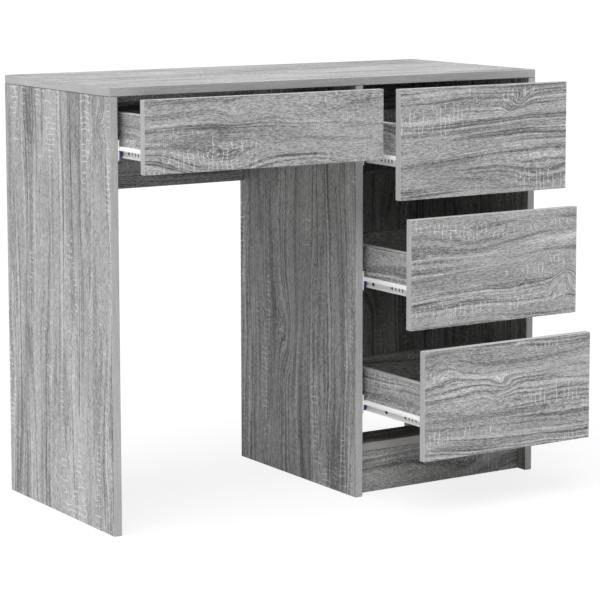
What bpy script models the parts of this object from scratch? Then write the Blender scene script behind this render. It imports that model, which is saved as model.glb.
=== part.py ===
# Writing desk with four handleless drawers on bottom-corner roller slides.
# Metres, +Z up.  X runs left to right, the drawers open towards -Y, the floor is Z = 0.
# The origin is on the floor under the middle of the desk with its drawers partly open.
import math

import bpy
import bmesh
from mathutils import Matrix

# Carcass
WIDTH = 0.900
DEPTH = 0.400
HEIGHT = 0.765
BOARD = 0.015
GAP = 0.0003
EDGE = 0.0006
KNEE_WIDTH = 0.480
KNEE_RAIL_BOTTOM = 0.545
DRAWER_RAIL_BOTTOM = 0.540
BACK_PANEL_BOTTOM = 0.100
PLINTH_RECESS = 0.023
PLINTH_HEIGHT = 0.077
BOTTOM_RAIL_DEPTH = 0.080

# Drawers
FRONT_SIDE_GAP = 0.002
SLIDE_CLEARANCE = 0.0125
BOX_LENGTH = 0.300
BOX_SIDE_HEIGHT = 0.074
BOTTOM_THICKNESS = 0.003
BOTTOM_LIFT = 0.008
SIDE_GROOVE = 0.006
FRONT_GROOVE = 0.005

# How far the lowest drawer stands open; it sets the depth of the whole desk as it is placed.
LOWEST_PULL = 0.190
FRONT_Y = (LOWEST_PULL - DEPTH) / 2
REAR_Y = FRONT_Y + DEPTH
LEFT_X = -WIDTH / 2
DIVIDER_X = LEFT_X + BOARD + KNEE_WIDTH
TOP_Z = HEIGHT - BOARD
KNEE_X = (LEFT_X + BOARD, DIVIDER_X)
PEDESTAL_X = (DIVIDER_X + BOARD, -LEFT_X - BOARD)

# name, opening it sits in, bottom and top of its front, slide height above the front's bottom, pull
DRAWERS = (
    ("wide", KNEE_X, 0.625, 0.749, 0.0210, 0.0890),
    ("upper", PEDESTAL_X, 0.553, 0.749, 0.0575, 0.1135),
    ("middle", PEDESTAL_X, 0.3265, 0.5225, 0.0575, 0.1475),
    ("lower", PEDESTAL_X, 0.100, 0.296, 0.0575, LOWEST_PULL),
)

# Slide sections, measured across from the cabinet wall and up from the underside of the drawer.
# They are folded from 1 mm sheet.
DRAWER_SECTION = (
    (0.0032, 0.0120),
    (0.0042, 0.0120),
    (0.0042, 0.0183),
    (0.0112, 0.0183),
    (0.0112, 0.0040),
    (0.0100, 0.0040),
    (0.0100, 0.0000),
    (0.0245, 0.0000),
    (0.0245, 0.0010),
    (0.0122, 0.0010),
    (0.0122, 0.0193),
    (0.0032, 0.0193),
)
CABINET_SECTION = (
    (0.0003, -0.0040),
    (0.0100, -0.0040),
    (0.0100, -0.0030),
    (0.0013, -0.0030),
    (0.0013, 0.0295),
    (0.0038, 0.0295),
    (0.0038, 0.0305),
    (0.0003, 0.0305),
)
WEB_ACROSS = 0.0117
CABINET_WEB_ACROSS = 0.0008
WHEEL_ACROSS = 0.0071
WHEEL_WIDTH = 0.0050
FRONT_WHEEL_RADIUS = 0.0092
FRONT_WHEEL_HEIGHT = 0.0088
FRONT_WHEEL_SETBACK = 0.0102
AXLE_RADIUS = 0.0020
BORE_RADIUS = 0.0021
REAR_WHEEL_RADIUS = 0.0100
REAR_WHEEL_HEIGHT = 0.0073
REAR_WHEEL_INSET = 0.0140
SCREW_HOLE_RADIUS = 0.0022
DRAWER_SCREW_BACK = 0.1147
DRAWER_SCREW_HEIGHT = 0.0083
SLOT_BACKS = (0.0220, 0.0325, 0.0430)
SLOT_HEIGHT = 0.0080
SLOT_SIZE = (0.0021, 0.0060)
SLOT_TILT = math.radians(15)
CABINET_SCREW_BACKS = (0.050, 0.140, 0.260)
CABINET_SCREW_HEIGHT = 0.0230
ROUND_SIDES = 24

# Finishes: colour, roughness, metallic
OAK_FACE = ((0.36, 0.35, 0.34), 0.55, 0.0)
OAK_PANEL = ((0.33, 0.32, 0.31), 0.55, 0.0)
WHITE_STEEL = ((0.85, 0.85, 0.84), 0.35, 0.0)
BLUE_NYLON = ((0.09, 0.06, 0.30), 0.40, 0.0)
FIBREBOARD = ((0.38, 0.37, 0.35), 0.70, 0.0)


def clear_scene():
    for thing in list(bpy.data.objects):
        bpy.data.objects.remove(thing, do_unlink=True)


def new_collection(name):
    group = bpy.data.collections.new(name)
    bpy.context.scene.collection.children.link(group)
    return group


def move_to(thing, group):
    for old in list(thing.users_collection):
        old.objects.unlink(thing)
    group.objects.link(thing)


def paint(thing, finish):
    colour, roughness, metallic = finish
    material = bpy.data.materials.new(thing.name + "_finish")
    material.use_nodes = True
    shader = material.node_tree.nodes["Principled BSDF"]
    shader.inputs["Base Color"].default_value = (*colour, 1.0)
    shader.inputs["Roughness"].default_value = roughness
    shader.inputs["Metallic"].default_value = metallic
    thing.data.materials.clear()
    thing.data.materials.append(material)


def hang_on(thing, parent):
    place = thing.matrix_world.copy()
    thing.parent = parent
    thing.matrix_parent_inverse = parent.matrix_world.inverted()
    thing.matrix_world = place


def box(name, x, y, z):
    """A box between two values of each axis, its origin at its centre."""
    middle = [sum(span) / 2 for span in (x, y, z)]
    bpy.ops.mesh.primitive_cube_add(size=1, location=middle)
    thing = bpy.context.object
    thing.name = name
    thing.scale = [span[1] - span[0] for span in (x, y, z)]
    bpy.ops.object.transform_apply(location=False, rotation=False, scale=True)
    return thing


def board(name, x, y, z, finish, group, parent=None):
    """A board whose edges are broken by a small chamfer."""
    thing = box(name, x, y, z)
    chamfer = thing.modifiers.new("chamfer", "BEVEL")
    chamfer.width = EDGE
    chamfer.segments = 1
    paint(thing, finish)
    move_to(thing, group)
    if parent:
        hang_on(thing, parent)
    return thing


def rod(name, radius, x, y, z, sides=ROUND_SIDES):
    """A cylinder along X between two values of x."""
    middle = (sum(x) / 2, y, z)
    length = abs(x[1] - x[0])
    turn = (0, math.pi / 2, 0)
    bpy.ops.mesh.primitive_cylinder_add(
        vertices=sides, radius=radius, depth=length, location=middle, rotation=turn)
    thing = bpy.context.object
    thing.name = name
    return thing


def hide_tool(thing, tools):
    thing.hide_render = True
    thing.display_type = "WIRE"
    move_to(thing, tools)
    return thing


def one_tool(name, pieces, tools):
    """Joins separate cutting shapes into one cutter."""
    bpy.ops.object.select_all(action="DESELECT")
    for piece in pieces:
        piece.select_set(True)
    bpy.context.view_layer.objects.active = pieces[0]
    bpy.ops.object.join()
    pieces[0].name = name
    return hide_tool(pieces[0], tools)


def combine(thing, tool, operation):
    change = thing.modifiers.new(tool.name, "BOOLEAN")
    change.operation = operation
    change.solver = "EXACT"
    change.object = tool


def folded_strip(name, section, hand, wall_x, y, base_z):
    """A sheet section swept along Y.  hand is +1 on a left wall and -1 on a right wall."""
    curve = bpy.data.curves.new(name + "_outline", "CURVE")
    curve.dimensions = "2D"
    curve.fill_mode = "BOTH"
    curve.extrude = (y[1] - y[0]) / 2
    spline = curve.splines.new("POLY")
    spline.points.add(len(section) - 1)
    for point, (across, up) in zip(spline.points, section):
        point.co = (hand * across, up, 0, 1)
    spline.use_cyclic_u = True
    outline = bpy.data.objects.new(name + "_outline", curve)
    bpy.context.scene.collection.objects.link(outline)
    bpy.context.view_layer.update()
    evaluated = outline.evaluated_get(bpy.context.evaluated_depsgraph_get())
    mesh = bpy.data.meshes.new_from_object(evaluated)
    bpy.data.objects.remove(outline, do_unlink=True)
    mesh.transform(Matrix.Rotation(math.pi / 2, 4, "X"))
    shape = bmesh.new()
    shape.from_mesh(mesh)
    bmesh.ops.remove_doubles(shape, verts=shape.verts, dist=0.00001)
    bmesh.ops.recalc_face_normals(shape, faces=shape.faces)
    shape.to_mesh(mesh)
    shape.free()
    thing = bpy.data.objects.new(name, mesh)
    thing.location = (wall_x, sum(y) / 2, base_z)
    bpy.context.scene.collection.objects.link(thing)
    bpy.context.view_layer.update()
    return thing


def across(wall_x, hand, near, far):
    """The x span between two distances from a cabinet wall."""
    return (wall_x + hand * near, wall_x + hand * far)


def build_carcass(group):
    right_x = -LEFT_X
    y = (FRONT_Y, REAR_Y)
    up = (0, TOP_Z - GAP)
    board("desktop", (LEFT_X, right_x), y, (TOP_Z, HEIGHT), OAK_FACE, group)
    board("side_left", (LEFT_X, LEFT_X + BOARD), y, up, OAK_FACE, group)
    board("divider", (DIVIDER_X, DIVIDER_X + BOARD), y, up, OAK_FACE, group)
    board("side_right", (right_x - BOARD, right_x), y, up, OAK_FACE, group)
    knee = (KNEE_X[0] + GAP, KNEE_X[1] - GAP)
    pedestal = (PEDESTAL_X[0] + GAP, PEDESTAL_X[1] - GAP)
    back = (REAR_Y - BOARD, REAR_Y)
    board("rail_knee_back", knee, back, (KNEE_RAIL_BOTTOM, TOP_Z - GAP), OAK_PANEL, group)
    board("rail_drawers_back", pedestal, back, (DRAWER_RAIL_BOTTOM, TOP_Z - GAP), OAK_PANEL, group)
    panel_z = (BACK_PANEL_BOTTOM, DRAWER_RAIL_BOTTOM - GAP)
    board("panel_drawers_back", pedestal, back, panel_z, OAK_PANEL, group)
    toe = FRONT_Y + PLINTH_RECESS
    board("plinth", pedestal, (toe, toe + BOARD), (0, PLINTH_HEIGHT), OAK_PANEL, group)
    rail_z = (PLINTH_HEIGHT + GAP, PLINTH_HEIGHT + GAP + BOARD)
    board("rail_bottom", pedestal, (toe, toe + BOTTOM_RAIL_DEPTH), rail_z, OAK_PANEL, group)


def build_box(name, opening, low, high, slide_up, pull, group, tools):
    """One drawer: its front, sides, back and bottom, on an empty behind the front."""
    front_y = FRONT_Y - pull
    rear_of_front = front_y + BOARD
    box_y = (rear_of_front + GAP, rear_of_front + BOX_LENGTH)
    middle_x = sum(opening) / 2
    half = (opening[1] - opening[0]) / 2
    outer = half - SLIDE_CLEARANCE
    inner = outer - BOARD
    side_z = low + slide_up + 0.001 + GAP
    side_span = (side_z, side_z + BOX_SIDE_HEIGHT)
    floor_span = (side_z + BOTTOM_LIFT, side_z + BOTTOM_LIFT + BOTTOM_THICKNESS)

    carrier = bpy.data.objects.new("drawer_" + name, None)
    carrier.location = (middle_x, rear_of_front, side_z)
    group.objects.link(carrier)
    bpy.context.view_layer.update()

    groove = box(
        "groove_" + name,
        (middle_x - inner - SIDE_GROOVE - GAP, middle_x + inner + SIDE_GROOVE + GAP),
        (rear_of_front - FRONT_GROOVE - GAP, box_y[1] + BOARD),
        (floor_span[0] - GAP, floor_span[1] + GAP))
    hide_tool(groove, tools)

    front_half = half - FRONT_SIDE_GAP
    front = board(
        "drawer_" + name + "_front", (middle_x - front_half, middle_x + front_half),
        (front_y, rear_of_front), (low, high), OAK_FACE, group, carrier)
    combine(front, groove, "DIFFERENCE")
    for side, hand in (("left", -1), ("right", 1)):
        x = sorted((middle_x + hand * inner, middle_x + hand * outer))
        wall = board(
            "drawer_" + name + "_side_" + side, x, box_y, side_span, OAK_PANEL, group, carrier)
        combine(wall, groove, "DIFFERENCE")
    inside = (middle_x - inner + GAP, middle_x + inner - GAP)
    back_y = (box_y[1] - BOARD, box_y[1])
    back_z = (floor_span[1] + GAP, side_span[1])
    board("drawer_" + name + "_back", inside, back_y, back_z, OAK_PANEL, group, carrier)
    floor_x = (middle_x - inner - SIDE_GROOVE, middle_x + inner + SIDE_GROOVE)
    floor_y = (rear_of_front - FRONT_GROOVE, box_y[1])
    base = box("drawer_" + name + "_bottom", floor_x, floor_y, floor_span)
    paint(base, FIBREBOARD)
    move_to(base, group)
    hang_on(base, carrier)
    return carrier


def build_drawer_slide(name, hand, wall_x, y, base_z, group, tools, carrier):
    """The sliding half: a folded strip with its screw hole, slots and fixed rear wheel."""
    strip = folded_strip(name, DRAWER_SECTION, hand, wall_x, y, base_z)
    web = across(wall_x, hand, WEB_ACROSS - 0.0015, WEB_ACROSS + 0.0015)
    screw_y = y[0] + DRAWER_SCREW_BACK
    openings = [rod("screw", SCREW_HOLE_RADIUS, web, screw_y, base_z + DRAWER_SCREW_HEIGHT)]
    width, height = SLOT_SIZE
    slot_z = (base_z + SLOT_HEIGHT - height / 2, base_z + SLOT_HEIGHT + height / 2)
    for back in SLOT_BACKS:
        slot_y = (y[0] + back - width / 2, y[0] + back + width / 2)
        slot = box("slot", sorted(web), slot_y, slot_z)
        slot.rotation_euler.x = SLOT_TILT
        openings.append(slot)
    combine(strip, one_tool(name + "_openings", openings, tools), "DIFFERENCE")
    wheel_y = y[1] - REAR_WHEEL_INSET
    wheel_z = base_z + REAR_WHEEL_HEIGHT
    near = WHEEL_ACROSS - WHEEL_WIDTH / 2
    wheel = rod(
        name + "_wheel", REAR_WHEEL_RADIUS, across(wall_x, hand, near, near + WHEEL_WIDTH),
        wheel_y, wheel_z, 32)
    combine(strip, hide_tool(wheel, tools), "UNION")
    hub = rod(
        name + "_hub", AXLE_RADIUS * 2, across(wall_x, hand, near + WHEEL_WIDTH / 2, WEB_ACROSS),
        wheel_y, wheel_z)
    combine(strip, hide_tool(hub, tools), "UNION")
    paint(strip, WHITE_STEEL)
    move_to(strip, group)
    hang_on(strip, carrier)


def build_cabinet_slide(name, hand, wall_x, base_z, group, tools):
    """The fixed half: a folded channel with its screw holes and the axle of its front roller."""
    y = (FRONT_Y, FRONT_Y + BOX_LENGTH)
    strip = folded_strip(name, CABINET_SECTION, hand, wall_x, y, base_z)
    web = across(wall_x, hand, CABINET_WEB_ACROSS - 0.0015, CABINET_WEB_ACROSS + 0.0015)
    screw_z = base_z + CABINET_SCREW_HEIGHT
    holes = [rod("screw", SCREW_HOLE_RADIUS, web, y[0] + b, screw_z) for b in CABINET_SCREW_BACKS]
    combine(strip, one_tool(name + "_holes", holes, tools), "DIFFERENCE")
    axle = rod(
        name + "_axle", AXLE_RADIUS,
        across(wall_x, hand, CABINET_WEB_ACROSS, WHEEL_ACROSS + WHEEL_WIDTH / 2),
        y[0] + FRONT_WHEEL_SETBACK, base_z + FRONT_WHEEL_HEIGHT)
    combine(strip, hide_tool(axle, tools), "UNION")
    paint(strip, WHITE_STEEL)
    move_to(strip, group)


def build_roller(name, hand, wall_x, base_z, group, tools):
    """The front roller, its origin on its axle."""
    near = WHEEL_ACROSS - WHEEL_WIDTH / 2
    x = across(wall_x, hand, near, near + WHEEL_WIDTH)
    y = FRONT_Y + FRONT_WHEEL_SETBACK
    z = base_z + FRONT_WHEEL_HEIGHT
    roller = rod(name, FRONT_WHEEL_RADIUS, x, y, z, 32)
    chamfer = roller.modifiers.new("chamfer", "BEVEL")
    chamfer.width = EDGE
    chamfer.segments = 1
    chamfer.angle_limit = math.radians(60)
    chamfer.limit_method = "ANGLE"
    bore_x = across(wall_x, hand, near - 0.001, near + WHEEL_WIDTH + 0.001)
    combine(roller, hide_tool(rod(name + "_bore", BORE_RADIUS, bore_x, y, z), tools), "DIFFERENCE")
    roller.data.shade_smooth()
    roller.data.set_sharp_from_angle(angle=math.radians(40))
    paint(roller, BLUE_NYLON)
    move_to(roller, group)


def build_drawer(name, opening, low, high, slide_up, pull, group, tools):
    carrier = build_box(name, opening, low, high, slide_up, pull, group, tools)
    base_z = low + slide_up
    rear_of_front = FRONT_Y - pull + BOARD
    moving_y = (rear_of_front + GAP, rear_of_front + BOX_LENGTH)
    for side, hand, wall_x in (("left", 1, opening[0]), ("right", -1, opening[1])):
        ending = name + "_" + side
        build_drawer_slide(
            "slide_drawer_" + ending, hand, wall_x, moving_y, base_z, group, tools, carrier)
        build_cabinet_slide("slide_cabinet_" + ending, hand, wall_x, base_z, group, tools)
        build_roller("roller_" + ending, hand, wall_x, base_z, group, tools)


clear_scene()
desk = new_collection("writing_desk")
cutters = new_collection("cutters")
build_carcass(desk)
for drawer in DRAWERS:
    build_drawer(*drawer, desk, cutters)
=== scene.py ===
import math

import bmesh
import bpy
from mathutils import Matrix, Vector


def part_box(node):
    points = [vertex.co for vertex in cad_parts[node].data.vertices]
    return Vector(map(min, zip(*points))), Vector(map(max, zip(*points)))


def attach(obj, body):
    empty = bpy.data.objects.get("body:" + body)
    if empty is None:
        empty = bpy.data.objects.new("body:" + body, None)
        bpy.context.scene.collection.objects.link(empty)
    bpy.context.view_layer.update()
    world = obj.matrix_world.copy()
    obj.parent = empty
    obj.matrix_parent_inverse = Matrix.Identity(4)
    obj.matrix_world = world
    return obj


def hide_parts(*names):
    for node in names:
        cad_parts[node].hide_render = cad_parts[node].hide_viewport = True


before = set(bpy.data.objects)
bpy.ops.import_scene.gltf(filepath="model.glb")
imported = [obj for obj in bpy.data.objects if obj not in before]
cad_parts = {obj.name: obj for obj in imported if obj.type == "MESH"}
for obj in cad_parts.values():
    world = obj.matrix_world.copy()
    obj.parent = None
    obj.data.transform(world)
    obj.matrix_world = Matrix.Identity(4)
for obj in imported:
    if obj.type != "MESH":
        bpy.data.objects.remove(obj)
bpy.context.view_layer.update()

axisOf = {"x": 0, "y": 1, "z": 2}
tiny = 0.00001   # lengths closer than this, in metres, count as equal


def clearSelection():
    if bpy.context.mode != "OBJECT":
        bpy.ops.object.mode_set(mode="OBJECT")
    bpy.ops.object.select_all(action="DESELECT")


def makeActive(piece):
    clearSelection()
    piece.select_set(True)
    bpy.context.view_layer.objects.active = piece


def startEdit(piece, kind="FACE"):
    makeActive(piece)
    bpy.ops.object.mode_set(mode="EDIT")
    bpy.ops.mesh.select_mode(type=kind)


def chooseFaces(piece, test):
    mesh = bmesh.from_edit_mesh(piece.data)
    for face in mesh.faces:
        face.select_set(False)
    for face in mesh.faces:
        if test(face.calc_center_median(), face.normal):
            face.select_set(True)
    bmesh.update_edit_mesh(piece.data)


def chooseEdges(piece, test):
    mesh = bmesh.from_edit_mesh(piece.data)
    for edge in mesh.edges:
        edge.select_set(False)
    for edge in mesh.edges:
        ends = [corner.co for corner in edge.verts]
        if test(ends[0], ends[1], len(edge.link_faces)):
            edge.select_set(True)
    bmesh.update_edit_mesh(piece.data)


def endEdit():
    bpy.ops.object.mode_set(mode="OBJECT")


def applyPlace(piece):
    makeActive(piece)
    bpy.ops.object.transform_apply(location=True, rotation=True, scale=True)


def applyAll(piece):
    makeActive(piece)
    for modifier in list(piece.modifiers):
        bpy.ops.object.modifier_apply(modifier=modifier.name)


def block(name, low, high):
    # a cube between two corners, with its place in its mesh
    clearSelection()
    middle = [(a + b) / 2 for a, b in zip(low, high)]
    bpy.ops.mesh.primitive_cube_add(size=1, location=middle)
    piece = bpy.context.object
    piece.name = name
    piece.scale = [b - a for a, b in zip(low, high)]
    applyPlace(piece)
    return piece


def roundBar(name, radius, x, y, z, sides):
    # a cylinder along X between two values of x
    clearSelection()
    bpy.ops.mesh.primitive_cylinder_add(
        vertices=sides, radius=radius, depth=abs(x[1] - x[0]),
        location=(sum(x) / 2, y, z), rotation=(0, math.pi / 2, 0))
    piece = bpy.context.object
    piece.name = name
    applyPlace(piece)
    return piece


def joinPieces(name, pieces):
    clearSelection()
    for piece in pieces:
        piece.select_set(True)
    bpy.context.view_layer.objects.active = pieces[0]
    if len(pieces) > 1:
        bpy.ops.object.join()
    pieces[0].name = name
    pieces[0].data.name = name
    return pieces[0]


def cutAway(piece, cutter):
    makeActive(piece)
    cut = piece.modifiers.new("cut", "BOOLEAN")
    cut.operation = "DIFFERENCE"
    cut.solver = "EXACT"
    cut.object = cutter
    bpy.ops.object.modifier_apply(modifier=cut.name)
    bpy.data.objects.remove(cutter, do_unlink=True)


def mergeWith(piece, other):
    makeActive(piece)
    merge = piece.modifiers.new("merge", "BOOLEAN")
    merge.operation = "UNION"
    merge.solver = "EXACT"
    merge.object = other
    bpy.ops.object.modifier_apply(modifier=merge.name)
    bpy.data.objects.remove(other, do_unlink=True)


def faceOutwards(piece):
    startEdit(piece)
    bpy.ops.mesh.select_all(action="SELECT")
    bpy.ops.mesh.remove_doubles(threshold=0.000001)
    bpy.ops.mesh.normals_make_consistent(inside=False)
    endEdit()


def smoothOver(piece, degrees):
    makeActive(piece)
    bpy.ops.object.shade_smooth_by_angle(angle=math.radians(degrees))


def keepFlatsFlat(piece):
    # the wide flat faces lead the shading, so a small round stays a small round
    makeActive(piece)
    bpy.ops.object.shade_smooth()
    modifier = piece.modifiers.new("flats", "WEIGHTED_NORMAL")
    modifier.weight = 100
    modifier.thresh = 0.001
    bpy.ops.object.modifier_apply(modifier=modifier.name)


def copyTo(master, name, place, hand=1):
    # a copy with its own mesh; a hand of -1 turns it over in X
    makeActive(master)
    bpy.ops.object.duplicate(linked=False)
    piece = bpy.context.object
    piece.name = name
    piece.data.name = name
    piece.location = place
    piece.scale = (hand, 1, 1)
    applyPlace(piece)
    if hand < 0:
        faceOutwards(piece)
    return piece


def wear(piece, *finishes):
    piece.data.materials.clear()
    for finish in finishes:
        piece.data.materials.append(finish)


class Signal:
    # one value between shader nodes; sums written in Python add the Math nodes
    def __init__(self, finish, socket):
        self.finish = finish
        self.socket = socket

    def math(self, operation, *values):
        return self.finish.add("ShaderNodeMath", {"operation": operation}, dict(enumerate(values)))

    def __add__(self, other):
        return self.math("ADD", self, other)

    def __radd__(self, other):
        return self.math("ADD", other, self)

    def __sub__(self, other):
        return self.math("SUBTRACT", self, other)

    def __rsub__(self, other):
        return self.math("SUBTRACT", other, self)

    def __mul__(self, other):
        return self.math("MULTIPLY", self, other)

    def __rmul__(self, other):
        return self.math("MULTIPLY", other, self)

    def __truediv__(self, other):
        return self.math("DIVIDE", self, other)

    def __abs__(self):
        return self.math("ABSOLUTE", self)

    def floor(self):
        return self.math("FLOOR", self)

    def fract(self):
        return self.math("FRACT", self)

    def least(self, other):
        return self.math("MINIMUM", self, other)

    def fade(self):
        # 1 at nought, falling off like a bell
        return self.math("EXPONENT", -1 * self)

    def ease(self, low, high, start=0.0, end=1.0):
        # a soft step from start to end while the value goes from low to high
        return self.finish.add(
            "ShaderNodeMapRange", {"interpolation_type": "SMOOTHSTEP"},
            {"Value": self, "From Min": low, "From Max": high, "To Min": start, "To Max": end})

    def out(self, name):
        return Signal(self.finish, self.socket.node.outputs[name])


class Finish:
    # the nodes of one material, or of the world; add puts in any node
    def __init__(self, owner):
        owner.use_nodes = True
        self.owner = owner
        self.nodes = owner.node_tree.nodes
        self.links = owner.node_tree.links
        self.nodes.clear()

    def add(self, kind, settings, sockets):
        node = self.nodes.new(kind)
        node.location = (180 * (len(self.nodes) % 12), -220 * (len(self.nodes) // 12))
        for key, value in settings.items():
            if key == "stops":
                self.setStops(node.color_ramp, value)
            else:
                setattr(node, key, value)
        for key, value in sockets.items():
            if isinstance(value, Signal):
                self.links.new(value.socket, node.inputs[key])
            else:
                node.inputs[key].default_value = value
        return Signal(self, node.outputs[0]) if node.outputs else None

    def setStops(self, ramp, stops):
        ends = ramp.elements[0], ramp.elements[1]
        for element, (place, shade) in zip(ends, (stops[0], stops[-1])):
            element.position = place
            element.color = (*shade, 1)
        for place, shade in stops[1:-1]:
            ramp.elements.new(place).color = (*shade, 1)

    def place(self, centre):
        # object coordinates, measured from a centre
        coordinates = self.add("ShaderNodeTexCoord", {}, {}).out("Object")
        moved = self.add(
            "ShaderNodeMapping", {"vector_type": "POINT"},
            {"Vector": coordinates, "Location": [-c for c in centre]})
        split = self.add("ShaderNodeSeparateXYZ", {}, {"Vector": moved})
        return split, split.out("Y"), split.out("Z")

    def noise(self, x, y, z, detail=0.0, roughness=0.5):
        where = self.add("ShaderNodeCombineXYZ", {}, {"X": x, "Y": y, "Z": z})
        return self.add(
            "ShaderNodeTexNoise", {"noise_dimensions": "3D"},
            {"Vector": where, "Scale": 1.0, "Detail": detail, "Roughness": roughness})

    def ramp(self, value, stops):
        return self.add("ShaderNodeValToRGB", {"stops": stops}, {"Fac": value})

    def surface(self, colour, roughness, height, strength, depth, others=None):
        # the surface itself, with its relief as a bump
        bump = self.add("ShaderNodeBump", {}, {"Height": height, "Strength": strength, "Distance": depth})
        sockets = {"Base Color": colour, "Roughness": roughness, "Normal": bump, **(others or {})}
        return self.add("ShaderNodeBsdfPrincipled", {}, sockets)

    def close(self, shader, output="ShaderNodeOutputMaterial"):
        self.add(output, {}, {"Surface": shader})
        return self.owner


def newFinish(name):
    return Finish(bpy.data.materials.new(name))


oakDecor = {
    # the size of each mark along and across the grain, in metres, then its strength
    "wave": (0.36, 0.090, 0.044),        # the slow waves of the grain, and their swing in metres
    "ripple": (0.080, 0.034, 0.0075),    # the same for the small ones
    "line": (0.46, 0.0038, 0.28),        # the fine lines
    "strip": (0.50, 0.030),              # where the fine lines gather
    "band": (0.24, 0.0150, 0.17),        # the dark spear-shaped bands
    "dash": (0.0070, 0.00105, 1.45),     # the short dashes
    "pore": (0.0042, 0.00072, 0.75),     # the finest specks
    "cloud": (0.26, 0.050, 0.43),        # broad light and dark
    "saw": (0.0094, 0.030, 0.44),        # pitch, reach and paleness of the saw marks
    "sawPatch": (0.260, 0.044),          # the columns they stand in
    "weave": (0.0038, 0.17),             # pitch and paleness of the closer marks
    "weavePatch": (0.075, 0.028),
    "shake": (0.030, 0.020),             # how the marks' spacing wanders
    "middle": 0.52,                      # the value of the plain sheet
    "edgeDark": (0.00224, 0.0007, 0.06),     # a strip along the edges of each face, darker towards the edge
}

oakSteps = {
    # the values between which a mark fades in
    "darkLine": (0.49, 0.39),
    "paleLine": (0.56, 0.65),
    "strip": (0.47, 0.57, 0.06, 1.0),
    "band": (0.592, 0.612),
    "tooth": (0.12, 0.05),
    "blade": (0.48, 0.51),
    "sawPatch": (0.585, 0.615),
    "fineTooth": (0.26, 0.10),
    "weavePatch": (0.57, 0.63),
}

oakTones = [(place, (grey, grey, grey + blue)) for place, grey, blue in (
    (0.00, 0.100, 0.0), (0.30, 0.240, 0.0), (0.50, 0.385, -0.001),
    (0.72, 0.515, -0.001), (1.00, 0.740, -0.002))]


def oakFinish(name, grain, low, high, seed, swirls=(), paintedLightShade=0.0):
    look, steps = oakDecor, oakSteps
    finish = newFinish(name)
    along, across = (axisOf[letter] for letter in grain)
    half = (high - low) / 2
    spots = finish.place((low + high) / 2)
    u, v = spots[along], spots[across]

    def layer(mark, height, offset, detail=0.0, roughness=0.5):
        return finish.noise(u / look[mark][0], height / look[mark][1], seed + offset, detail, roughness)

    # the grain lines run where this height is the same
    wave = layer("wave", v, 0.1, 0.6)
    ripple = layer("ripple", v, 3.3, 0.5)
    height = v + (wave - 0.5) * look["wave"][2] + (ripple - 0.5) * look["ripple"][2]
    for swirlAlong, swirlAcross, reachAlong, reachAcross, push in swirls:
        du = (u - swirlAlong + (ripple - 0.5) * 0.05) / reachAlong
        dv = (v - swirlAcross + (wave - 0.5) * 0.04) / reachAcross
        height = height + (du * du + dv * dv).fade() * push

    line = layer("line", height, 7.7, 0.7, 0.6)
    strip = layer("strip", height, 11.2, 0.5)
    lines = line.ease(*steps["darkLine"]) - line.ease(*steps["paleLine"]) * 0.75
    lines = lines * strip.ease(*steps["strip"])
    bands = layer("band", height, 17.9, 0.4).ease(*steps["band"])
    dash = layer("dash", height, 23.4, 1.2, 0.55)
    pore = layer("pore", height, 31.0, 0.8)
    cloud = layer("cloud", height, 41.5, 1.0)

    # pale marks of the saw across the grain, in columns
    pitch, reach, sawPale = look["saw"]
    shake = layer("shake", v, 47.0)
    count = u / pitch + (shake - 0.5) * 0.9
    tooth = abs(count.fract() - 0.5)
    blade = finish.noise(count.floor() * 0.61, v / reach, seed + 53.0, 0.8).ease(*steps["blade"])
    patch = layer("sawPatch", v, 59.0, 0.6).ease(*steps["sawPatch"])
    saws = tooth.ease(*steps["tooth"]) * blade * patch
    finePitch, finePale = look["weave"]
    fineTooth = abs((u / finePitch + (shake - 0.5) * 1.6).fract() - 0.5)
    finePatch = layer("weavePatch", v, 67.0, 0.6).ease(*steps["weavePatch"])
    weaves = fineTooth.ease(*steps["fineTooth"]) * finePatch

    # paintedLightShade shifts the whole sheet: painted shade where it is below nought, painted light
    # where it is above
    value = (
        (look["middle"] + paintedLightShade) + (dash - 0.5) * look["dash"][2] + (pore - 0.5) * look["pore"][2]
        + (cloud - 0.5) * look["cloud"][2] - lines * look["line"][2] - bands * look["band"][2]
        + saws * (sawPale * 0.5 + dash * sawPale) + patch * 0.03 + weaves * finePale)
    # the face grows a little darker in a narrow strip along its edges
    edge = (half[along] - abs(u)).least(half[across] - abs(v))
    edgeDarkStart, edgeDarkEnd, edgeDarkening = look["edgeDark"]
    value = value - edge.ease(edgeDarkStart, edgeDarkEnd) * edgeDarkening
    colour = finish.ramp(value, oakTones)
    roughness = 0.47 + (1 - dash) * 0.12 + bands * 0.05
    relief = dash * 0.5 + pore * 0.5 - lines * 0.25 + saws * 0.2
    return finish.close(finish.surface(colour, roughness, relief, 0.35, 0.00025))


edgeBand = {
    "streak": (0.070, 0.0016, 0.55),   # along, across, contrast
    "speck": (0.0060, 0.0011, 0.60),
    "cloud": (0.140, 0.30),
}


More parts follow.
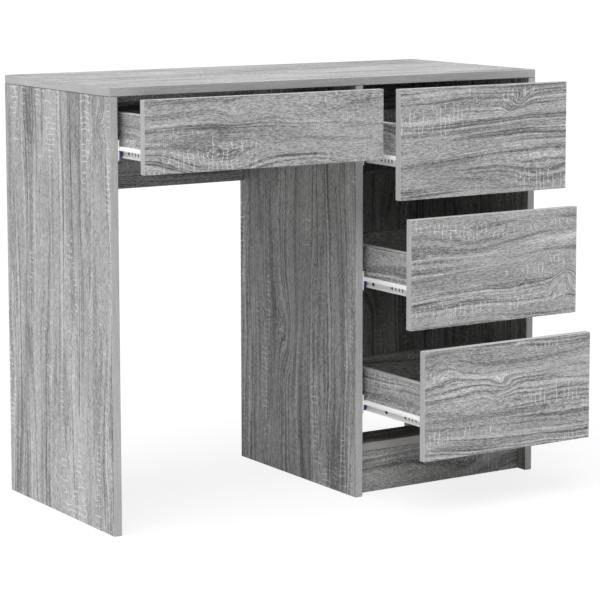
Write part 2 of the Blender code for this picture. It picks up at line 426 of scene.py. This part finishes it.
def bandFinish(letter):
    # the plain strip on a board's edges, with its streaks along one axis
    look = edgeBand
    finish = newFinish("edge_band_" + letter)
    spots = finish.place((0.013, 0.021, 0.017))
    u = spots[axisOf[letter]]
    others = [spots[axisOf[o]] for o in "xyz" if o != letter]
    side = others[0] + others[1] * 1.13
    streakLong, streakWide, streakDepth = look["streak"]
    speckLong, speckWide, speckDepth = look["speck"]
    cloudLong, cloudDepth = look["cloud"]
    wave = finish.noise(u / 0.11, side / 0.03, 5.1)
    streak = finish.noise(u / streakLong, (side + wave * 0.004) / streakWide, 2.2, 1.5)
    speck = finish.noise(u / speckLong, side / speckWide, 9.6, 1.0)
    cloud = finish.noise(u / cloudLong, side / 0.05, 14.3, 1.0)
    value = (
        0.52 + (streak - 0.5) * streakDepth + (speck - 0.5) * speckDepth
        + (cloud - 0.5) * cloudDepth)
    colour = finish.ramp(value, [
        (0.0, (0.28, 0.28, 0.28)), (0.5, (0.470, 0.470, 0.469)), (1.0, (0.68, 0.68, 0.678))])
    roughness = 0.42 + (1 - streak) * 0.14
    return finish.close(finish.surface(colour, roughness, streak * 0.6 + speck * 0.4, 0.25, 0.00012))


def coatFinish():
    # white powder coat on steel: a fine orange peel, with faint grey rubs
    finish = newFinish("white_powder_coat")
    x, y, z = finish.place((0, 0, 0))
    peel = finish.noise(x / 0.0011, y / 0.0011, z / 0.0011, 1.5)
    rub = finish.noise(x / 0.004, y / 0.035, z / 0.003, 2.0)
    dust = finish.noise(x / 0.02, y / 0.05, z / 0.02, 1.0)
    value = 0.55 + (peel - 0.5) * 0.10 + (dust - 0.5) * 0.35 - rub.ease(0.60, 0.72) * 0.22
    colour = finish.ramp(value, [
        (0.0, (0.68, 0.68, 0.675)), (0.5, (0.95, 0.95, 0.946)), (1.0, (0.97, 0.97, 0.968))])
    roughness = 0.30 + peel * 0.12 + rub.ease(0.56, 0.70) * 0.12
    return finish.close(finish.surface(colour, roughness, peel, 0.18, 0.00008, {"Coat Weight": 0.15}))


def nylonFinish():
    # moulded blue nylon, a little paler where it has run on the steel
    finish = newFinish("blue_nylon_moulded")
    x, y, z = finish.place((0, 0, 0))
    grainy = finish.noise(x / 0.0008, y / 0.0008, z / 0.0008, 2.0)
    flow = finish.noise(x / 0.004, y / 0.006, z / 0.006, 1.5)
    value = 0.45 + (grainy - 0.5) * 0.3 + (flow - 0.5) * 0.8
    colour = finish.ramp(value, [
        (0.0, (0.030, 0.020, 0.120)), (0.5, (0.055, 0.036, 0.215)), (1.0, (0.105, 0.080, 0.330))])
    roughness = 0.34 + grainy * 0.16
    return finish.close(finish.surface(colour, roughness, grainy * 0.5 + flow * 0.5, 0.2, 0.0001))


def zincFinish():
    # bright zinc on the pins of the wheels
    finish = newFinish("zinc_plate")
    x, y, z = finish.place((0, 0, 0))
    spangle = finish.noise(x / 0.0009, y / 0.0009, z / 0.0009, 2.0)
    stain = finish.noise(x / 0.003, y / 0.003, z / 0.003, 1.0)
    value = 0.5 + (spangle - 0.5) * 0.5 + (stain - 0.5) * 0.6
    colour = finish.ramp(value, [
        (0.0, (0.22, 0.22, 0.225)), (0.5, (0.46, 0.46, 0.465)), (1.0, (0.66, 0.66, 0.66))])
    roughness = 0.26 + stain * 0.25
    return finish.close(finish.surface(colour, roughness, spangle, 0.15, 0.00005, {"Metallic": 0.92}))


def blackFinish(name, dark, pale, rough):
    # blackened steel, or the black of the pad that paints shade into the slide's slots, finely mottled
    finish = newFinish(name)
    x, y, z = finish.place((0, 0, 0))
    speck = finish.noise(x / 0.0007, y / 0.0007, z / 0.0007, 2.0)
    haze = finish.noise(x / 0.004, y / 0.004, z / 0.004, 1.0)
    value = 0.5 + (speck - 0.5) * 0.6 + (haze - 0.5) * 0.6
    colour = finish.ramp(value, [(0.0, dark), (1.0, pale)])
    return finish.close(finish.surface(colour, rough + speck * 0.15, speck, 0.2, 0.00005))


def paperFinish(name, dark, pale):
    # the drawer bottoms: printed paper above, bare hardboard below
    finish = newFinish(name)
    x, y, z = finish.place((0, 0, 0))
    fibre = finish.noise(x / 0.0040, y / 0.0012, z / 0.001, 2.5, 0.6)
    cross = finish.noise(x / 0.0012, y / 0.0040, z / 0.001 + 4.0, 2.5, 0.6)
    mottle = finish.noise(x / 0.045, y / 0.030, 6.0, 2.0)
    value = 0.5 + (fibre - 0.5) * 0.55 + (cross - 0.5) * 0.45 + (mottle - 0.5) * 0.4
    middle = [(a + b) / 2 for a, b in zip(dark, pale)]
    colour = finish.ramp(value, [(0.0, dark), (0.5, middle), (1.0, pale)])
    roughness = 0.62 + (1 - fibre) * 0.16
    return finish.close(finish.surface(colour, roughness, fibre * 0.5 + cross * 0.5, 0.3, 0.00015))


def chipboardFinish():
    # the bare core of the boards, on the top edges of the uprights under the desktop
    finish = newFinish("chipboard_core")
    x, y, z = finish.place((0, 0, 0))
    flake = finish.noise(x / 0.0022, y / 0.0022, z / 0.0022, 2.5, 0.65)
    chip = finish.noise(x / 0.0050, y / 0.0050, z / 0.0030, 1.0)
    value = 0.5 + (flake - 0.5) * 0.8 + (chip - 0.5) * 0.7
    colour = finish.ramp(value, [
        (0.0, (0.060, 0.045, 0.030)), (0.5, (0.150, 0.115, 0.080)), (1.0, (0.300, 0.240, 0.175))])
    roughness = 0.70 + flake * 0.2
    return finish.close(finish.surface(colour, roughness, flake * 0.7 + chip * 0.3, 0.5, 0.0004))


bands = {letter: bandFinish(letter) for letter in "xyz"}
chipboard = chipboardFinish()
powderCoat = coatFinish()
blueNylon = nylonFinish()
zincPlate = zincFinish()
blackScrew = blackFinish("blackened_screw", (0.010, 0.010, 0.011), (0.045, 0.045, 0.047), 0.35)
# the black of the pad behind the slots and the arrow, painted shade
paintedShadeBlack = blackFinish("painted_shade_black", (0.008, 0.008, 0.008), (0.030, 0.030, 0.030), 0.50)
printedPaper = paperFinish("printed_paper", (0.27, 0.268, 0.262), (0.47, 0.468, 0.460))
hardboard = paperFinish("hardboard", (0.20, 0.155, 0.115), (0.38, 0.315, 0.250))
print("finishes made")


boardMaking = {
    "round": 0.0008,      # radius on every edge
    "roundSteps": 3,
    "seam": 0.0005,       # the joint between the face and the edge strip
    "seamDepth": 0.00008,
}


def thinAxis(low, high):
    sizes = [high[i] - low[i] for i in range(3)]
    return sizes.index(min(sizes))


def makeBoard(name, low, high, decor, bareTop=False):
    # a board with rounded edges, a decor face on each side and strips on its edges
    piece = block(name, low, high)
    through = thinAxis(low, high)
    flat = [i for i in range(3) if i != through]
    startEdit(piece, "EDGE")
    bpy.ops.mesh.select_all(action="SELECT")
    bpy.ops.mesh.bevel(
        offset=boardMaking["round"], segments=boardMaking["roundSteps"],
        affect="EDGES", clamp_overlap=True)
    bpy.ops.mesh.select_mode(type="FACE")
    chooseFaces(piece, lambda middle, normal: abs(normal[through]) > 0.999)
    bpy.ops.mesh.inset(thickness=boardMaking["seam"], depth=-boardMaking["seamDepth"])
    endEdit()
    letters = "xyz"
    wear(piece, decor, bands[letters[flat[0]]], bands[letters[flat[1]]], chipboard)
    for face in piece.data.polygons:
        normal = face.normal
        if abs(normal[through]) > 0.9:
            face.material_index = 0
        elif bareTop and normal.z > 0.3:
            face.material_index = 3
        else:
            # the strip runs along the side it doesn't face
            face.material_index = 2 if abs(normal[flat[0]]) > abs(normal[flat[1]]) else 1
    return piece


carcassBoards = {
    # grain along and across, seed, swirls as (along, across, reach along, reach across, push), and
    # painted light and shade: below nought darkens a board that stands in shade, above nought lightens
    # one that wants more light
    "desktop": ("xy", 4.0, [(-0.16, 0.05, 0.12, 0.05, 0.02)], 0.03),
    "side_left": ("zy", 21.0, [
        (0.345, 0.150, 0.026, 0.016, 0.020), (0.325, -0.165, 0.024, 0.015, -0.018)], 0.035),
    "divider": ("zy", 33.0, [(-0.10, 0.03, 0.08, 0.03, 0.03)], -0.085),
    "side_right": ("zy", 47.0, [(0.12, -0.05, 0.05, 0.03, 0.04)], 0.0),
    "rail_knee_back": ("xz", 58.0, [(0.06, 0.0, 0.06, 0.04, 0.03)], -0.085),
    "rail_drawers_back": ("xz", 63.0, [], 0.0),
    "panel_drawers_back": ("zx", 71.0, [(0.02, 0.06, 0.05, 0.04, 0.04)], 0.10),
    "plinth": ("xz", 83.0, [(0.05, -0.02, 0.07, 0.03, 0.03)], 0.0),
    "rail_bottom": ("xy", 95.0, [], 0.0),
}

uprights = ("side_left", "divider", "side_right")
showpieces = ("desktop", *uprights)

for node, (grain, seed, swirls, paintedLightShade) in carcassBoards.items():
    low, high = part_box(node)
    decor = oakFinish("oak_" + node, grain, low, high, seed, swirls, paintedLightShade)
    piece = makeBoard(node + "_board", low, high, decor, bareTop=node in uprights)
    keepFlatsFlat(piece)
    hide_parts(node)
    "oak_face" if node in showpieces else "oak_panel"
    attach(piece, "carcass")
print("carcass boards made")


drawerMaking = {
    "groove": 0.0036,        # height of the groove that holds the bottom
    "bottomRound": 0.0004,
    "shade": 0.075,          # how much darker than its front a drawer's own boards are painted, as painted shade
}

drawerLooks = {
    # seed, and the swirls of the front
    "wide": (112.0, [(-0.095, -0.060, 0.085, 0.034, 0.024), (-0.060, 0.035, 0.025, 0.016, 0.012)]),
    "upper": (131.0, [
        (0.088, 0.066, 0.018, 0.014, 0.016), (0.062, 0.050, 0.014, 0.012, 0.011),
        (0.130, -0.070, 0.080, 0.030, 0.016)]),
    "middle": (157.0, [(0.160, -0.038, 0.028, 0.022, -0.024), (-0.020, 0.060, 0.080, 0.026, 0.014)]),
    "lower": (173.0, [
        (-0.018, 0.020, 0.017, 0.014, 0.016), (-0.045, 0.004, 0.014, 0.012, 0.010),
        (-0.130, 0.065, 0.050, 0.028, -0.016)]),
}


def makeGroove(name):
    # the cutter for the bottom's groove, a little larger than the bottom itself and open at the rear
    low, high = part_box("drawer_" + name + "_bottom")
    spare = (drawerMaking["groove"] - (high.z - low.z)) / 2
    return block(
        "groove", (low.x - spare, low.y - spare, low.z - spare),
        (high.x + spare, high.y + 0.02, high.z + spare))


for name, (seed, swirls) in drawerLooks.items():
    body = "drawer_" + name
    for ending, grain, slotName, shift, localSwirls in (
            ("front", "xz", "oak_face", 0.0, swirls),
            ("side_left", "yz", "oak_panel", 3.0, ()),
            ("side_right", "yz", "oak_panel", 5.0, ()),
            ("back", "xz", "oak_panel", 8.0, ())):
        node = body + "_" + ending
        low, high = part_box(node)
        # the drawer's sides and back get painted shade, darker than its front
        paintedLightShade = 0.0 if ending == "front" else -drawerMaking["shade"]
        decor = oakFinish("oak_" + node, grain, low, high, seed + shift, localSwirls, paintedLightShade)
        piece = makeBoard(node + "_board", low, high, decor)
        if ending != "back":
            cutAway(piece, makeGroove(name))
        keepFlatsFlat(piece)
        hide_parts(node)
        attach(piece, body)
    node = body + "_bottom"
    low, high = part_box(node)
    piece = block(node + "_sheet", low, high)
    startEdit(piece, "EDGE")
    bpy.ops.mesh.select_all(action="SELECT")
    bpy.ops.mesh.bevel(offset=drawerMaking["bottomRound"], segments=2, affect="EDGES")
    endEdit()
    wear(piece, printedPaper, hardboard)
    for face in piece.data.polygons:
        face.material_index = 0 if face.normal.z > 0.7 else 1
    keepFlatsFlat(piece)
    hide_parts(node)
    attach(piece, body)
print("drawers made")


# Every strip is drawn from the cabinet wall (x, inwards) and the underside of the drawer (z).

slideMaking = {
    "sheet": 0.0010,
    "length": 0.2997,
    "cabinetLength": 0.3000,
    "fold": 0.0007,
    "foldSteps": 3,
    "drawerSection": (
        (0.0245, 0.0005), (0.0103, 0.0005), (0.0117, 0.0050), (0.0117, 0.0188),
        (0.0036, 0.0188), (0.0031, 0.0132)),
    "cabinetSection": ((0.0100, -0.0035), (0.0008, -0.0035), (0.0008, 0.0300), (0.0038, 0.0300)),
    "web": 0.0117,                   # the moving strip's upright, at the middle of its thickness
    "screwHole": 0.0022, "holeSides": 24,
    "screwBack": 0.1147, "screwHeight": 0.0083,
    "tab": ((0.0006, 0.0001, -0.0025), (0.0024, 0.0011, 0.0285)),
    "notch": ((0.0020, -0.001, -0.006), (0.012, 0.0220, 0.001)),   # no lower flange under the roller
    "cabinetScrews": (0.050, 0.140, 0.260), "cabinetScrewHeight": 0.0230,
}

markMaking = {
    "slotBacks": (0.0220, 0.0325, 0.0430), "arrowBack": 0.0560,
    "height": 0.0087,
    "slotReach": 0.0050,      # radius of each slot's bend
    "slotWidth": 0.0038,
    "slotSweep": math.radians(72), "slotSteps": 10,
    "arrow": 0.0047,          # from the arrow's middle to its corners
    "cutter": 0.004,          # thickness of the cutters
    # the pad behind the marks: a black sheet that paints shade into the slots and the arrow
    "pad": ((0.01130, 0.0165, 0.0038), (0.01246, 0.0660, 0.0138)), "shadePadRound": 0.0020,
}


def foldedStrip(name, section, length):
    # a flat strip, folded on edge by edge, then given its thickness
    (x0, z0), (x1, z1) = section[:2]
    clearSelection()
    bpy.ops.mesh.primitive_plane_add(size=1, location=((x0 + x1) / 2, length / 2, z0))
    piece = bpy.context.object
    piece.name = name
    piece.scale = (abs(x1 - x0), length, 1)
    applyPlace(piece)
    startEdit(piece, "EDGE")
    chooseEdges(piece, lambda a, b, faces: abs(a.x - x1) < tiny and abs(b.x - x1) < tiny)
    here = (x1, z1)
    for x, z in section[2:]:
        bpy.ops.mesh.extrude_edges_move(
            TRANSFORM_OT_translate={"value": (x - here[0], 0, z - here[1])})
        here = (x, z)
    chooseEdges(piece, lambda a, b, faces: faces == 2)
    bpy.ops.mesh.bevel(
        offset=slideMaking["fold"], segments=slideMaking["foldSteps"], affect="EDGES", clamp_overlap=True)
    bpy.ops.mesh.select_all(action="SELECT")
    bpy.ops.mesh.normals_make_consistent(inside=False)
    endEdit()
    wall = piece.modifiers.new("sheet", "SOLIDIFY")
    wall.thickness = slideMaking["sheet"]
    wall.offset = 0
    wall.use_even_offset = True
    applyAll(piece)
    faceOutwards(piece)
    return piece


def bentSlot(x, y, z):
    # a slot bent like a bracket: a small face swept round a centre beside it
    reach, width, sweep = markMaking["slotReach"], markMaking["slotWidth"], markMaking["slotSweep"]
    start = y + width / 2 - reach * (1 - math.cos(sweep / 2))
    clearSelection()
    bpy.ops.mesh.primitive_plane_add(size=1, location=(x, start, z - reach * math.sin(sweep / 2)))
    piece = bpy.context.object
    piece.scale = (markMaking["cutter"], width, 1)
    applyPlace(piece)
    startEdit(piece)
    bpy.ops.mesh.select_all(action="SELECT")
    bpy.ops.mesh.spin(
        steps=markMaking["slotSteps"], angle=sweep, center=(x, y + width / 2 - reach, z), axis=(-1, 0, 0))
    endEdit()
    faceOutwards(piece)
    return piece


def arrowHead(x, y, z):
    # a triangle that points the way the drawer goes in
    clearSelection()
    bpy.ops.mesh.primitive_cylinder_add(
        vertices=3, radius=markMaking["arrow"], depth=markMaking["cutter"],
        location=(x, y, z), rotation=(0, math.pi / 2, 0))
    head = bpy.context.object
    applyPlace(head)
    depths = [corner.co.y for corner in head.data.vertices]
    low, high = min(depths), max(depths)
    if sum(depth > high - tiny for depth in depths) > 2:
        # turned so that its single corner leads
        head.scale = (1, -1, 1)
        head.location = (0, low + high, 0)
        applyPlace(head)
        faceOutwards(head)
    return head


def makeDrawerStrip():
    making = slideMaking
    piece = foldedStrip("drawerStrip", making["drawerSection"], making["length"])
    web, reach, height = making["web"], markMaking["cutter"] / 2, markMaking["height"]
    cutters = [roundBar(
        "hole", making["screwHole"], (web - reach, web + reach),
        making["screwBack"], making["screwHeight"], making["holeSides"])]
    cutters += [bentSlot(web, back, height) for back in markMaking["slotBacks"]]
    cutters.append(arrowHead(web, markMaking["arrowBack"], height))
    cutAway(piece, joinPieces("cutters", cutters))
    faceOutwards(piece)
    return piece


def makeCabinetStrip():
    making = slideMaking
    piece = foldedStrip("cabinetStrip", making["cabinetSection"], making["cabinetLength"])
    cutAway(piece, block("notch", *making["notch"]))
    cutters = [
        roundBar(
            "hole", making["screwHole"], (-0.001, 0.003),
            back, making["cabinetScrewHeight"], making["holeSides"])
        for back in making["cabinetScrews"]]
    cutAway(piece, joinPieces("cutters", cutters))
    # the front end is turned in as a narrow tab
    mergeWith(piece, block("tab", *making["tab"]))
    faceOutwards(piece)
    return piece


wheelMaking = {
    "width": 0.0056, "bore": 0.0021, "sides": 56,
    "rim": 0.0024,       # width of the rim's flat
    "slope": 0.0004,     # width of the step down from it
    "dish": 0.0007,      # how far the web of the wheel lies below the rim
    "hub": 0.0036,       # radius of the hub
    "hubSlope": 0.0003, "hubRise": 0.00036,
    "round": 0.0005,     # on the rim's outer edges
    "pinGap": 0.0002,    # between the bore and its pin
}


def makeWheel(name, radius):
    # a moulded wheel: rim, dished web, hub and bore, along X from 0
    making = wheelMaking
    webWidth = radius - making["rim"] - making["slope"] - making["hub"] - making["hubSlope"]
    piece = roundBar(name, radius, (0, making["width"]), 0, 0, making["sides"])
    startEdit(piece, "FACE")
    chooseFaces(piece, lambda middle, normal: abs(normal.x) > 0.9)
    bpy.ops.mesh.inset(thickness=making["rim"])
    bpy.ops.mesh.inset(thickness=making["slope"], depth=-making["dish"])
    bpy.ops.mesh.inset(thickness=webWidth)
    bpy.ops.mesh.inset(thickness=making["hubSlope"], depth=making["hubRise"])
    bpy.ops.mesh.inset(thickness=making["hub"] - making["bore"])
    bpy.ops.mesh.delete(type="FACE")
    bpy.ops.mesh.select_mode(type="EDGE")
    chooseEdges(piece, lambda a, b, faces: faces == 1)
    bpy.ops.mesh.bridge_edge_loops()
    outer = radius - tiny
    chooseEdges(piece, lambda a, b, faces: (
        abs(a.x - b.x) < tiny and math.hypot(a.y, a.z) > outer and math.hypot(b.y, b.z) > outer))
    bpy.ops.mesh.bevel(offset=making["round"], segments=3, affect="EDGES")
    endEdit()
    faceOutwards(piece)
    return piece


def makeScrew(name, radius, thick):
    # a flat pan head with a cross recess, its head facing -X and its underside at x = 0
    piece = roundBar(name, radius, (-thick, 0.0), 0, 0, 28)
    startEdit(piece, "EDGE")
    chooseEdges(piece, lambda a, b, faces: a.x < -thick * 0.9 and b.x < -thick * 0.9)
    bpy.ops.mesh.bevel(offset=thick * 0.62, segments=4, affect="EDGES")
    endEdit()
    deep = thick * 0.75
    arm, thin = radius * 0.62, radius * 0.16
    cross = [
        block("armA", (-thick - 0.001, -arm, -thin), (-thick + deep, arm, thin)),
        block("armB", (-thick - 0.001, -thin, -arm), (-thick + deep, thin, arm))]
    mergeWith(cross[0], cross[1])
    cutAway(piece, cross[0])
    faceOutwards(piece)
    return piece


def makeRivet(name, shank, headRadius, headThick):
    # a shank along X from 0 with a domed head at its far end
    radius = wheelMaking["bore"] - wheelMaking["pinGap"]
    piece = roundBar(name, radius, (0, shank), 0, 0, slideMaking["holeSides"])
    startEdit(piece, "FACE")
    chooseFaces(piece, lambda middle, normal: normal.x > 0.9)
    bpy.ops.mesh.extrude_region_move(TRANSFORM_OT_translate={"value": (headThick, 0, 0)})
    chooseFaces(piece, lambda middle, normal: abs(normal.x) < 0.1 and middle.x > shank)
    bpy.ops.mesh.extrude_region_shrink_fatten(TRANSFORM_OT_shrink_fatten={"value": headRadius - radius})
    bpy.ops.mesh.select_mode(type="EDGE")
    top = shank + headThick - 1e-6
    chooseEdges(piece, lambda a, b, faces: (
        a.x > top and b.x > top and math.hypot(a.y, a.z) > headRadius * 0.9
        and math.hypot(b.y, b.z) > headRadius * 0.9))
    bpy.ops.mesh.bevel(offset=headThick * 0.6, segments=3, affect="EDGES")
    endEdit()
    faceOutwards(piece)
    return piece


def makePaintedShadePad():
    # a black pad behind the strip that fills the arrow and the slots: painted shade, so they read as dark
    # holes
    piece = block("paintedShadePad", *markMaking["pad"])
    startEdit(piece, "EDGE")
    chooseEdges(piece, lambda a, b, faces: abs(a.x - b.x) > tiny)
    bpy.ops.mesh.bevel(offset=markMaking["shadePadRound"], segments=4, affect="EDGES")
    endEdit()
    return piece


drawerStrip = makeDrawerStrip()
paintedShadePad = makePaintedShadePad()
cabinetStrip = makeCabinetStrip()
frontWheel = makeWheel("frontWheel", 0.0092)
rearWheel = makeWheel("rearWheel", 0.0100)
drawerScrew = makeScrew("drawerScrew", 0.0033, 0.0011)
cabinetScrew = makeScrew("cabinetScrew", 0.0034, 0.0016)
frontRivet = makeRivet("frontRivet", 0.0078, 0.0030, 0.0006)
rearRivet = makeRivet("rearRivet", 0.0066, 0.0030, 0.0006)
print("slide parts made")

slidePlace = {
    # distances from the wall, then back and up from the strips' own ends and bases
    "wallGap": 0.0003, "baseRise": 0.0040,
    "wheels": 0.0041,
    "movingWeb": 0.0112, "fixedWeb": 0.0013, "pinRoot": 0.0012,
    "frontBack": 0.0102, "frontHeight": 0.0088,
    "rearInset": 0.0140, "rearHeight": 0.0073,
}


def fitted(master, name, spot, hand, finish, degrees=0):
    piece = copyTo(master, name, spot, hand)
    wear(piece, finish)
    if degrees:
        smoothOver(piece, degrees)
    return piece


place = slidePlace
for name in drawerLooks:
    for side, hand in (("left", 1), ("right", -1)):
        ending = name + "_" + side
        body = "drawer_" + name
        movingLow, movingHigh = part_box("slide_drawer_" + ending)
        fixedLow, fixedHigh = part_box("slide_cabinet_" + ending)
        wall = (fixedLow.x - place["wallGap"]) if hand > 0 else (fixedHigh.x + place["wallGap"])
        base = fixedLow.z + place["baseRise"]
        wheelX, webX = wall + hand * place["wheels"], wall + hand * place["movingWeb"]
        screwX, pinX = wall + hand * place["fixedWeb"], wall + hand * place["pinRoot"]
        frontAxle = (fixedLow.y + place["frontBack"], base + place["frontHeight"])
        rearAxle = (movingHigh.y - place["rearInset"], base + place["rearHeight"])

        strip = fitted(
            drawerStrip, "strip_drawer_" + ending, (wall, movingLow.y, base), hand, powderCoat, 35)
        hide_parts("slide_drawer_" + ending)
        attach(strip, body)

        channel = fitted(
            cabinetStrip, "strip_cabinet_" + ending, (wall, fixedLow.y, base), hand, powderCoat, 35)
        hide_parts("slide_cabinet_" + ending)
        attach(channel, "carcass")

        roller = fitted(frontWheel, "wheel_front_" + ending, (wheelX, *frontAxle), hand, blueNylon, 40)
        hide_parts("roller_" + ending)
        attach(roller, "roller_" + ending)

        tail = fitted(rearWheel, "wheel_rear_" + ending, (wheelX, *rearAxle), hand, blueNylon, 40)
        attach(tail, body)

        # a black pad behind the slots and the arrow, painted shade in their holes
        shadePadPiece = fitted(paintedShadePad, "pad_" + ending, (wall, movingLow.y, base), hand, paintedShadeBlack)
        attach(shadePadPiece, body)

        # the moving half's screw, and the pin that its wheel is on
        screwSpot = (webX, movingLow.y + slideMaking["screwBack"], base + slideMaking["screwHeight"])
        moving = joinPieces("fixings_drawer_" + ending, [
            fitted(drawerScrew, "screw", screwSpot, hand, blackScrew),
            fitted(rearRivet, "pin", (webX, *rearAxle), -hand, zincPlate)])

        # the fixed half's screws, and the roller's pin
        screwZ = base + slideMaking["cabinetScrewHeight"]
        fixings = [
            fitted(cabinetScrew, "screw", (screwX, fixedLow.y + back, screwZ), -hand, blackScrew)
            for back in slideMaking["cabinetScrews"]]
        fixings.append(fitted(frontRivet, "pin", (pinX, *frontAxle), hand, zincPlate))
        fixed = joinPieces("fixings_cabinet_" + ending, fixings)
        for piece, rider in ((moving, body), (fixed, "carcass")):
            smoothOver(piece, 35)
            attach(piece, rider)

masters = (
    drawerStrip, paintedShadePad, cabinetStrip, frontWheel, rearWheel,
    drawerScrew, cabinetScrew, frontRivet, rearRivet)
for master in masters:
    bpy.data.objects.remove(master, do_unlink=True)
print("slides placed")


studio = {
    "floorSize": 80.0,
    "floorLow": -0.0004,
    "floorGrey": (0.58, 0.62), "floorGrain": 0.4,
    "floorGlow": 1.15, "floorGlowShare": 0.72,
    "worldLit": 0.45, "worldSeen": 1.1,
    "sun": 3.07, "sunFrom": (-0.36, -0.24, 0.90), "sunSpread": 55,
    "lens": 139.5, "shift": (-0.05, -0.15), "sensor": 36, "farthest": 200,
    "camera": (-2.267, -3.528, 1.037), "pitch": 7.04, "turn": -33.39,
}
white = (1, 1, 1, 1)

clearSelection()
bpy.ops.mesh.primitive_plane_add(size=studio["floorSize"], location=(0, 0, studio["floorLow"]))
floor = bpy.context.object
floor.name = "floor"
applyPlace(floor)
# the floor is lit like any pale floor, and its own glow keeps it near white in the shade
floorFinish = newFinish("pale_floor")
across, along = floorFinish.place((0, 0, 0))[:2]
mottle = floorFinish.noise(across / studio["floorGrain"], along / studio["floorGrain"], 1.0, 2.0)
darkGrey, paleGrey = studio["floorGrey"]
floorColour = floorFinish.ramp(mottle, [(0.0, (darkGrey,) * 3), (1.0, (paleGrey,) * 3)])
matt = floorFinish.surface(floorColour, 0.85, mottle, 0.02, 0.0002, {"Specular IOR Level": 0.1})
glow = floorFinish.add("ShaderNodeEmission", {}, {"Color": white, "Strength": studio["floorGlow"]})
seenAt = floorFinish.add("ShaderNodeLightPath", {}, {}).out("Is Camera Ray")
blend = floorFinish.add(
    "ShaderNodeMixShader", {}, {0: seenAt * studio["floorGlowShare"], 1: matt, 2: glow})
wear(floor, floorFinish.close(blend))

# the world lights the desk softly and is seen as plain white
world = bpy.data.worlds.new("studio_white")
bpy.context.scene.world = world
sky = Finish(world)
seenAt = sky.add("ShaderNodeLightPath", {}, {}).out("Is Camera Ray")
lit = sky.add("ShaderNodeBackground", {}, {"Color": white, "Strength": studio["worldLit"]})
seen = sky.add("ShaderNodeBackground", {}, {"Color": white, "Strength": studio["worldSeen"]})
sky.close(sky.add("ShaderNodeMixShader", {}, {0: seenAt, 1: lit, 2: seen}), "ShaderNodeOutputWorld")

# one wide, soft light from above, a little to the left and the front
sunData = bpy.data.lights.new("softSun", "SUN")
sunData.energy = studio["sun"]
sunData.angle = math.radians(studio["sunSpread"])
sun = bpy.data.objects.new("softSun", sunData)
bpy.context.scene.collection.objects.link(sun)
sun.rotation_euler = (-Vector(studio["sunFrom"])).to_track_quat("-Z", "Y").to_euler()

camera = bpy.data.objects.new("camera", bpy.data.cameras.new("camera"))
bpy.context.scene.collection.objects.link(camera)
camera.location = studio["camera"]
camera.rotation_euler = (math.radians(90 - studio["pitch"]), 0, math.radians(studio["turn"]))
camera.data.lens = studio["lens"]
camera.data.sensor_width = studio["sensor"]
camera.data.shift_x, camera.data.shift_y = studio["shift"]
camera.data.clip_end = studio["farthest"]
bpy.context.scene.camera = camera
bpy.context.scene.view_settings.view_transform = "Standard"
print("studio made")
